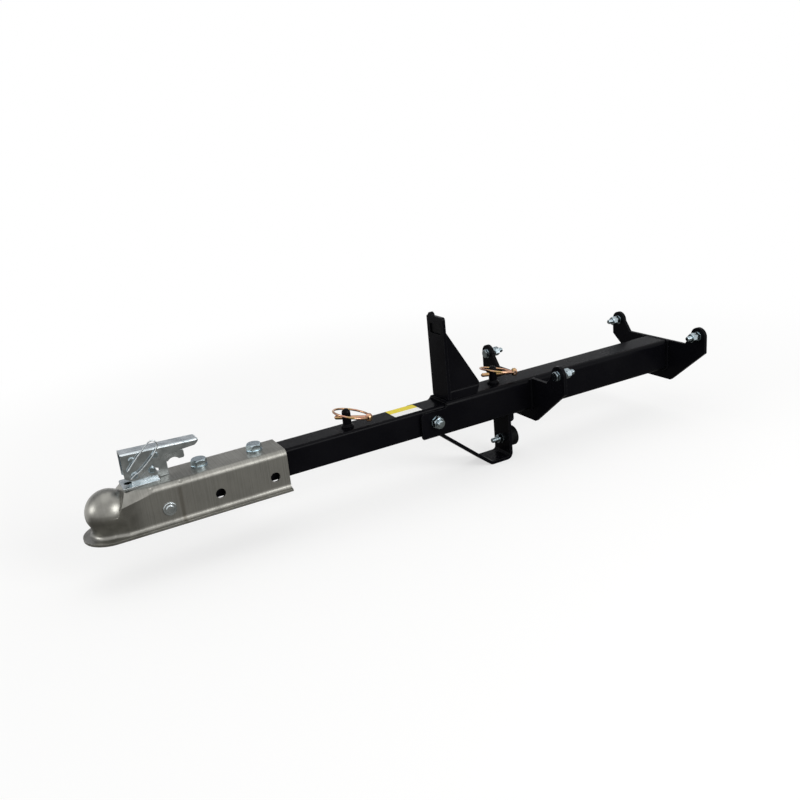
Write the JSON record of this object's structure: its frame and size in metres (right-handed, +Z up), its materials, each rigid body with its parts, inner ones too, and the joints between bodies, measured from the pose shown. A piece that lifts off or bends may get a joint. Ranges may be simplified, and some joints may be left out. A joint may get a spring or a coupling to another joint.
{
  "type": "folding trailer hitch tow bar",
  "caption": "Folding tow bar with a latching ball coupler on a square tongue, a pivoting rear tube, locking posts with linch pins, a stand foot and bolt-on cross plates.",
  "frame": {"origin": "centre of the rear plate's rear face, on the axis of both tubes", "axes": "+X along the tongue towards the machine, +Y across to the far side of the picture, +Z up"},
  "size_m": [0.9766, 0.2048, 0.252],
  "materials": {
    "black_powder_coat": "satin black powder coat",
    "raw_steel": "bare pressed steel with drawing marks",
    "bright_zinc": "bluish bright zinc plate",
    "yellow_zinc": "yellow chromate over zinc plate",
    "black_rubber": "moulded matt rubber"
  },
  "bodies": {
    "rear_frame": {"rear_tube": "black_powder_coat", "rear_plate": "black_powder_coat", "rear_plate_weld": "black_powder_coat", "rear_plate_bolts": "bright_zinc", "rear_plate_nuts": "bright_zinc", "middle_plate": "black_powder_coat", "middle_plate_weld": "black_powder_coat", "middle_plate_bolts": "bright_zinc", "middle_plate_nuts": "bright_zinc", "upright_plate": "black_powder_coat", "upright_gussets": "black_powder_coat", "upright_saddle": "black_powder_coat", "rear_post": "black_powder_coat", "pivot_bolt": "bright_zinc", "pivot_washers": "bright_zinc", "pivot_nut": "bright_zinc"},
    "tongue": {"tongue_tube": "black_powder_coat", "front_post": "black_powder_coat", "stand_strap": "black_powder_coat", "tail_pad": "black_powder_coat", "rubber_foot": "black_rubber", "foot_stud": "bright_zinc", "foot_nut": "bright_zinc", "coupler_body": "raw_steel", "coupler_bolts": "bright_zinc", "coupler_washers": "bright_zinc", "coupler_nuts": "bright_zinc", "latch_base": "bright_zinc", "latch_rivets": "bright_zinc", "clamp_pin": "raw_steel"},
    "handle": {"latch_handle": "bright_zinc", "handle_rivets": "bright_zinc"},
    "trigger": {"latch_trigger": "bright_zinc"},
    "clip": {"safety_clip": "bright_zinc"},
    "clamp": {"ball_clamp": "raw_steel", "clamp_stem": "bright_zinc", "stem_nut": "bright_zinc"},
    "front_pin": {"front_linch_pin": "yellow_zinc"},
    "front_ring": {"front_linch_ring": "yellow_zinc"},
    "rear_pin": {"rear_linch_pin": "yellow_zinc"},
    "rear_ring": {"rear_linch_ring": "yellow_zinc"}
  },
  "joints": [
    {"name": "tongue_fold", "type": "hinge", "parent": "rear_frame", "child": "tongue", "pos_m": [-0.465, 0, 0], "axis": [0, 1, 0], "range_deg": [0, 80]},
    {"name": "latch_lift", "type": "hinge", "parent": "tongue", "child": "handle", "pos_m": [-0.896, 0, 0.0385], "axis": [0, -1, 0], "range_deg": [0, 60]},
    {"name": "clamp_open", "type": "hinge", "parent": "tongue", "child": "clamp", "pos_m": [-0.8645, 0, -0.0108], "axis": [0, -1, 0], "range_deg": [0, 12]},
    {"name": "trigger_squeeze", "type": "hinge", "parent": "handle", "child": "trigger", "pos_m": [-0.8672, 0, 0.058], "axis": [0, -1, 0], "range_deg": [0, 8]},
    {"name": "clip_pull", "type": "slide", "parent": "handle", "child": "clip", "axis": [0, -1, 0], "range_m": [0, 0.012]},
    {"name": "front_pin_pull", "type": "slide", "parent": "tongue", "child": "front_pin", "axis": [0.7349, -0.6782, 0], "range_m": [0, 0.036]},
    {"name": "front_ring_lift", "type": "hinge", "parent": "front_pin", "child": "front_ring", "pos_m": [-0.57125, -0.02238, 0.034], "axis": [0.6679, 0.7237, -0.1736], "range_deg": [0, 100]},
    {"name": "rear_pin_pull", "type": "slide", "parent": "rear_frame", "child": "rear_pin", "axis": [0.891, -0.454, 0], "range_m": [0, 0.036]},
    {"name": "rear_ring_lift", "type": "hinge", "parent": "rear_pin", "child": "rear_ring", "pos_m": [-0.3146, -0.01498, 0.0394], "axis": [0.4471, 0.8775, -0.1736], "range_deg": [0, 100]}
  ],
  "couplings": [
    {"joint": "clamp_open", "follows": "latch_lift", "ratio": 0.2},
    {"joint": "front_ring_lift", "follows": "front_pin_pull", "rad_per_m": 48.48},
    {"joint": "rear_ring_lift", "follows": "rear_pin_pull", "rad_per_m": 48.48}
  ]
}
